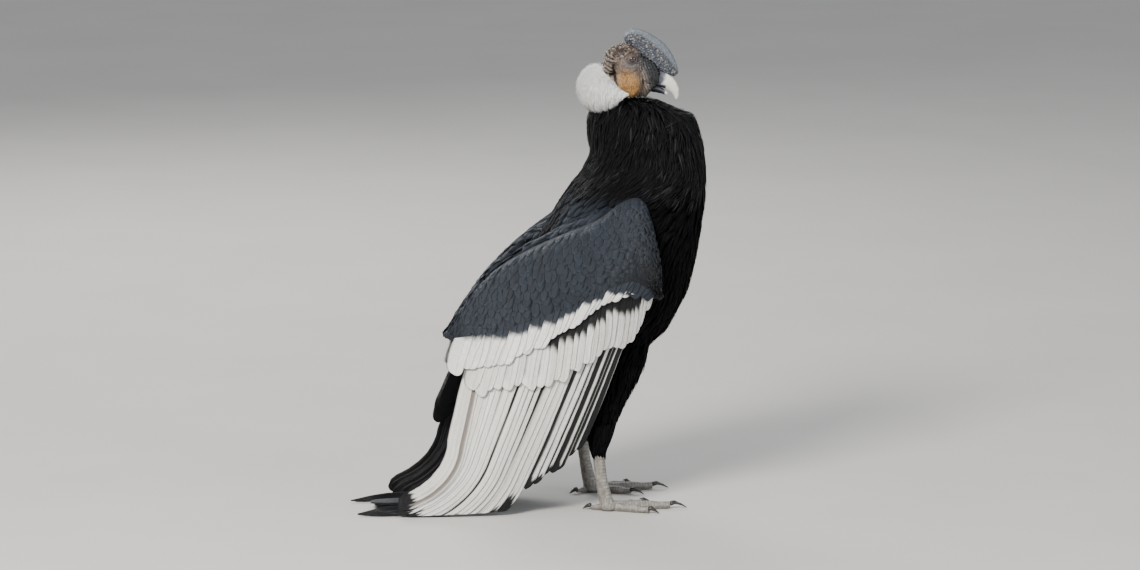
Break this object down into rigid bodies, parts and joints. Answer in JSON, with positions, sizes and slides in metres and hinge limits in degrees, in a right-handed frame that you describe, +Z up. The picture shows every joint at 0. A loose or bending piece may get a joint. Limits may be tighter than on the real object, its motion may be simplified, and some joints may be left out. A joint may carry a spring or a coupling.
{
  "type": "andean condor",
  "caption": "Life-size still model of an adult male Andean condor, standing upright with folded wings, white ruff and fleshy comb.",
  "frame": {"origin": "middle of the floor area that the bird covers, at the level of the soles", "axes": "+X the way the bird faces, +Y its left, +Z up"},
  "size_m": [0.6686, 0.3694, 0.8956],
  "materials": {
    "plumage": "soft black body feathers with a faint grey sheen",
    "wing": "slate coverts, white coverts and secondaries, black flight feathers",
    "down": "pure white matt down",
    "skin": "bare wrinkled skin, grey-brown with a yellow cheek",
    "comb": "pebbled dark grey flesh with a smooth paler edge",
    "ivory": "smooth ivory horn, dark at the base",
    "eye": "wet dark red-brown iris and black pupil",
    "leg": "scaly grey-beige skin",
    "horn": "dark worn horn"
  },
  "bodies": {
    "root": {"torso": "plumage", "neck": "plumage", "head": "skin", "bill_upper": "ivory", "bill_lower": "ivory", "comb": "comb", "ruff": "down", "tail": "plumage", "eye_right": "eye", "wing_right": "wing", "thigh_right": "plumage", "shank_right": "leg", "foot_right": "leg", "claw_middle_right": "horn", "claw_outer_right": "horn", "claw_inner_right": "horn", "claw_hind_right": "horn", "eye_left": "eye", "wing_left": "wing", "thigh_left": "plumage", "shank_left": "leg", "foot_left": "leg", "claw_middle_left": "horn", "claw_outer_left": "horn", "claw_inner_left": "horn", "claw_hind_left": "horn"}
  },
  "joints": []
}
